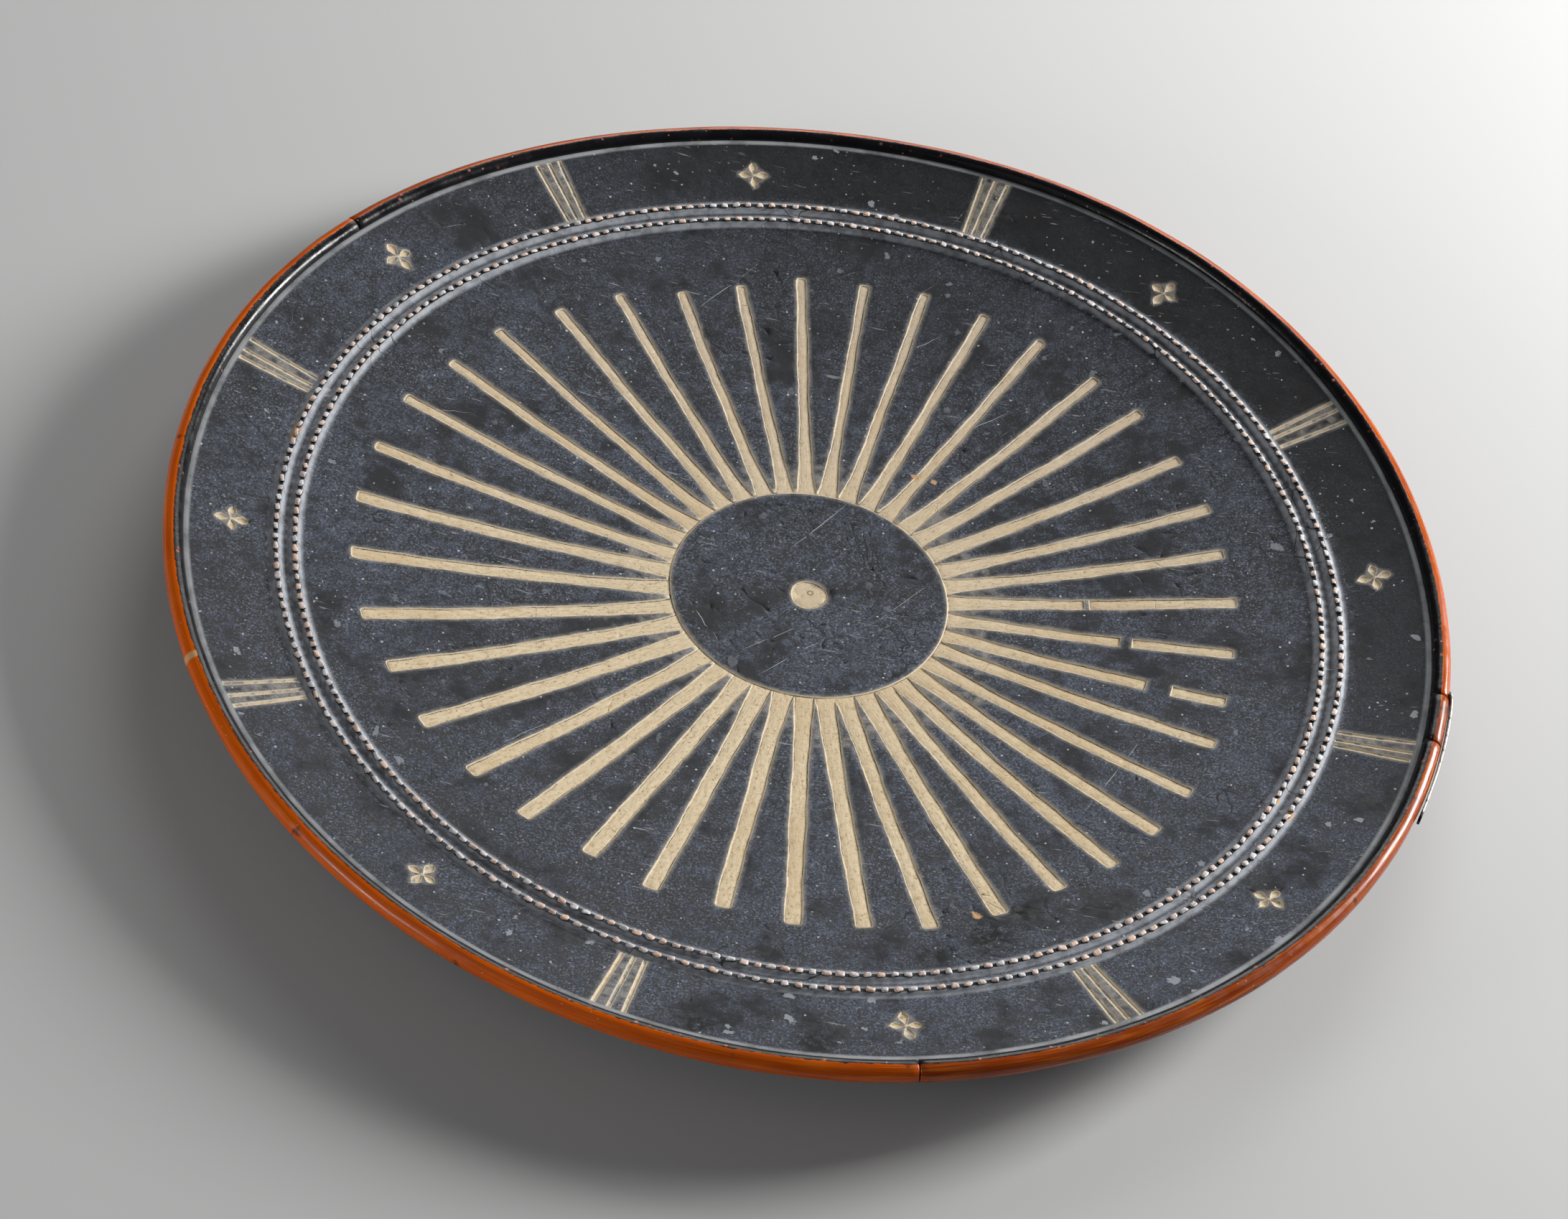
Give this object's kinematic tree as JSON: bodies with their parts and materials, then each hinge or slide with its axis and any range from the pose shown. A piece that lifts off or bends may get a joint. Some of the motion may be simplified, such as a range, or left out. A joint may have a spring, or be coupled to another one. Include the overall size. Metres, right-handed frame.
{
  "type": "round shield",
  "caption": "Round shield of thick black-lacquered hide, dished on its carved face, with a sun of scraped rays, laced raised seams, small flowers and a varnished cane rim.",
  "frame": {"origin": "middle of the small level spot on the back, on which the shield lies", "axes": "+Z along the shield's axis, out of the carved face; +Y across the face, away from the viewer of the picture; +X to the viewer's right"},
  "size_m": [0.6481, 0.6528, 0.0475],
  "materials": {
    "hide": "black lacquer, dusty and worn, with the ornament scraped down to raw hide",
    "lacing": "rawhide stitches, worn pale on their tops",
    "cane": "glossy orange-brown varnish, black lacquer on the inner side",
    "strip": "dull and tarnished"
  },
  "bodies": {
    "root": {"hide_disc": "hide", "lacing_inner": "lacing", "lacing_outer": "lacing", "rim_cane_top": "cane", "rim_cane_left": "cane", "rim_cane_right": "cane", "rim_cane_splice": "cane", "mending_strip": "strip"}
  },
  "joints": []
}
